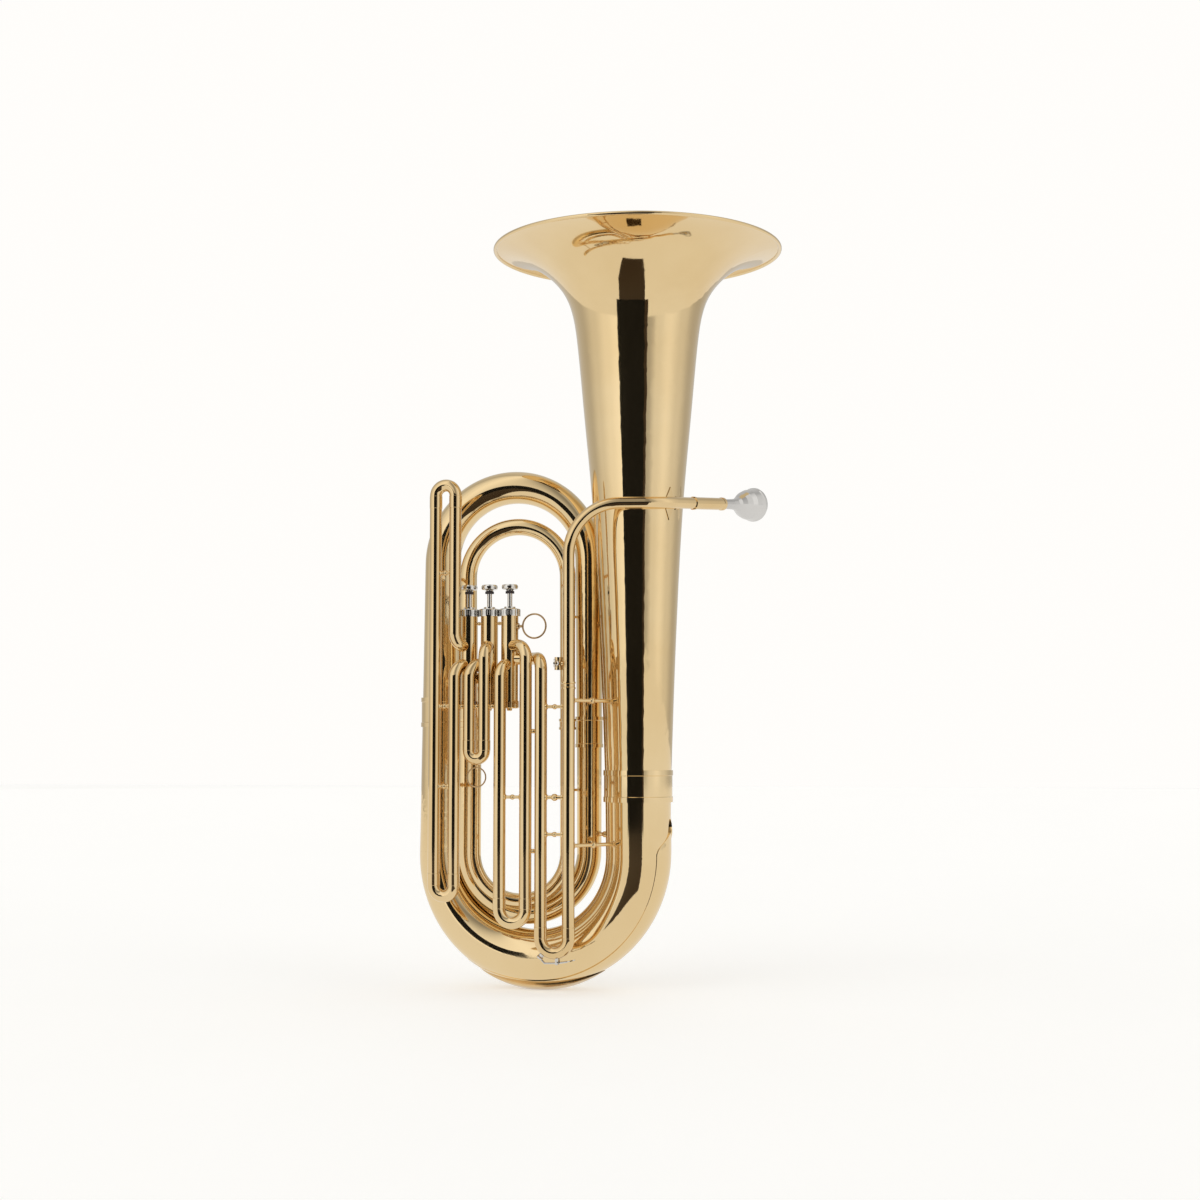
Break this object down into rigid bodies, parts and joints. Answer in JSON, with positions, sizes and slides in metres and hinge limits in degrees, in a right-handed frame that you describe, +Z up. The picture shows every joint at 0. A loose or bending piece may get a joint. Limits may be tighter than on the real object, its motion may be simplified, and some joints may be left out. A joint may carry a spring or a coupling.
{
  "type": "tuba",
  "caption": "Upright top-action tuba in lacquered brass: flared bell, nested conical bows, piston valves, tuning slides, wrapped leadpipe and mouthpiece.",
  "frame": {"origin": "centre of the flat rest face under the bottom bow", "axes": "+Z up along the bell, +X in the plane of the loops towards the bell, +Y away from the valves and slides"},
  "size_m": [0.4825, 0.3764, 0.9599],
  "materials": {
    "ball_stays": "clear lacquered",
    "bell": "clear lacquered",
    "bell_ferrule": "clear lacquered",
    "bell_rim_bead": "clear lacquered",
    "body_stays": "clear lacquered",
    "bottom_bow": "clear lacquered",
    "bottom_bumper": "clear lacquered",
    "bow_guard": "clear lacquered",
    "cork": "matt",
    "felt": "matt",
    "first_bow": "clear lacquered",
    "first_slide_crook": "clear lacquered",
    "first_slide_legs": "clear lacquered",
    "first_slide_tubes": "clear lacquered",
    "inner_arch": "clear lacquered",
    "leadpipe": "clear lacquered",
    "leadpipe_saddle": "clear lacquered",
    "loop_ferrules": "clear lacquered",
    "lyre_holder": "clear lacquered",
    "lyre_screw": "polished plate",
    "main_slide_crook": "clear lacquered",
    "main_slide_legs": "clear lacquered",
    "main_slide_tubes": "clear lacquered",
    "mouthpiece": "polished plate",
    "mouthpiece_receiver": "clear lacquered",
    "outer_arch": "clear lacquered",
    "second_bow": "clear lacquered",
    "second_slide_crook": "clear lacquered",
    "second_slide_legs": "clear lacquered",
    "second_slide_ring": "clear lacquered",
    "second_slide_tubes": "clear lacquered",
    "spring_steel": "bright",
    "third_lower_slide_crook": "clear lacquered",
    "third_lower_slide_tubes": "clear lacquered",
    "third_slide_legs": "clear lacquered",
    "third_upper_slide_crook": "clear lacquered",
    "third_upper_slide_tubes": "clear lacquered",
    "thumb_ring": "clear lacquered",
    "turned_stays": "clear lacquered",
    "valve_1_button": "polished plate",
    "valve_1_piston": "polished plate",
    "valve_1_stem": "polished plate",
    "valve_2_button": "polished plate",
    "valve_2_piston": "polished plate",
    "valve_2_stem": "polished plate",
    "valve_3_button": "polished plate",
    "valve_3_piston": "polished plate",
    "valve_3_stem": "polished plate",
    "valve_bottom_caps": "clear lacquered",
    "valve_casings": "clear lacquered",
    "valve_exit_tube": "clear lacquered",
    "valve_knuckles": "clear lacquered",
    "valve_top_caps": "polished plate",
    "water_key_lever": "clear lacquered",
    "water_key_screw": "clear lacquered",
    "water_key_seat": "clear lacquered"
  },
  "bodies": {
    "horn": {"ball_stays": "ball_stays", "bell": "bell", "bell_ferrule": "bell_ferrule", "bell_rim_bead": "bell_rim_bead", "body_stays": "body_stays", "bottom_bow": "bottom_bow", "bottom_bumper": "bottom_bumper", "bow_guard": "bow_guard", "first_bow": "first_bow", "first_slide_legs": "first_slide_legs", "inner_arch": "inner_arch", "leadpipe": "leadpipe", "leadpipe_saddle": "leadpipe_saddle", "loop_ferrules": "loop_ferrules", "lyre_holder": "lyre_holder", "main_slide_legs": "main_slide_legs", "mouthpiece_receiver": "mouthpiece_receiver", "outer_arch": "outer_arch", "second_bow": "second_bow", "second_slide_legs": "second_slide_legs", "third_slide_legs": "third_slide_legs", "thumb_ring": "thumb_ring", "turned_stays": "turned_stays", "valve_bottom_caps": "valve_bottom_caps", "valve_casings": "valve_casings", "valve_exit_tube": "valve_exit_tube", "valve_knuckles": "valve_knuckles", "valve_top_caps": "valve_top_caps"},
    "piston_1": {"valve_1_piston": "valve_1_piston", "valve_1_stem": "valve_1_stem", "valve_1_button": "valve_1_button", "valve_1_felt": "felt", "valve_1_spring": "spring_steel"},
    "piston_2": {"valve_2_piston": "valve_2_piston", "valve_2_stem": "valve_2_stem", "valve_2_button": "valve_2_button", "valve_2_felt": "felt", "valve_2_spring": "spring_steel"},
    "piston_3": {"valve_3_piston": "valve_3_piston", "valve_3_stem": "valve_3_stem", "valve_3_button": "valve_3_button", "valve_3_felt": "felt", "valve_3_spring": "spring_steel"},
    "main_slide": {"main_slide_tubes": "main_slide_tubes", "main_slide_crook": "main_slide_crook", "water_key_seat": "water_key_seat", "water_key_screw": "water_key_screw"},
    "first_slide": {"first_slide_tubes": "first_slide_tubes", "first_slide_crook": "first_slide_crook"},
    "second_slide": {"second_slide_tubes": "second_slide_tubes", "second_slide_crook": "second_slide_crook"},
    "third_lower_slide": {"third_lower_slide_tubes": "third_lower_slide_tubes", "third_lower_slide_crook": "third_lower_slide_crook"},
    "third_upper_slide": {"third_upper_slide_tubes": "third_upper_slide_tubes", "third_upper_slide_crook": "third_upper_slide_crook"},
    "water_key": {"water_key_lever": "water_key_lever", "water_key_cork": "cork"},
    "pull_ring": {"second_slide_ring": "second_slide_ring"},
    "mouthpiece": {"mouthpiece": "mouthpiece"},
    "lyre_screw": {"lyre_screw": "lyre_screw"}
  },
  "joints": [
    {"name": "valve_1_press", "type": "slide", "parent": "horn", "child": "piston_1", "axis": [0, 0, -1], "range_m": [0, 0.0165], "stiffness_N_per_m": 300, "springref_m": -0.014, "deforming": ["valve_1_spring"]},
    {"name": "valve_2_press", "type": "slide", "parent": "horn", "child": "piston_2", "axis": [0, 0, -1], "range_m": [0, 0.0165], "stiffness_N_per_m": 300, "springref_m": -0.014, "deforming": ["valve_2_spring"]},
    {"name": "valve_3_press", "type": "slide", "parent": "horn", "child": "piston_3", "axis": [0, 0, -1], "range_m": [0, 0.0165], "stiffness_N_per_m": 300, "springref_m": -0.014, "deforming": ["valve_3_spring"]},
    {"name": "main_slide_pull", "type": "slide", "parent": "horn", "child": "main_slide", "axis": [0, 0, -1], "range_m": [0, 0.11]},
    {"name": "first_slide_pull", "type": "slide", "parent": "horn", "child": "first_slide", "axis": [0, 0, -1], "range_m": [0, 0.095]},
    {"name": "second_slide_pull", "type": "slide", "parent": "horn", "child": "second_slide", "axis": [0, 0, -1], "range_m": [0, 0.055]},
    {"name": "third_lower_slide_pull", "type": "slide", "parent": "horn", "child": "third_lower_slide", "axis": [0, 0, -1], "range_m": [0, 0.085]},
    {"name": "third_upper_slide_pull", "type": "slide", "parent": "horn", "child": "third_upper_slide", "axis": [0, 0, 1], "range_m": [0, 0.085]},
    {"name": "water_key_open", "type": "hinge", "parent": "main_slide", "child": "water_key", "pos_m": [0.04041, -0.09866, 0.0435], "axis": [-0.1219, -0.9925, 0], "range_deg": [0, 22], "stiffness_Nm_per_rad": 0.02, "springref_deg": -34.38},
    {"name": "pull_ring_swing", "type": "hinge", "parent": "second_slide", "child": "pull_ring", "pos_m": [-0.06582, -0.08562, 0.2854], "axis": [0.8829, 0.4695, 0], "range_deg": [-35, 35]},
    {"name": "mouthpiece_pull", "type": "slide", "parent": "horn", "child": "mouthpiece", "axis": [0.5711, 0.8176, 0.0736], "range_m": [0, 0.03]},
    {"name": "lyre_screw_turn", "type": "hinge", "parent": "horn", "child": "lyre_screw", "pos_m": [0.04002, -0.10566, 0.415], "axis": [-0.1219, -0.9925, 0], "continuous": true}
  ]
}
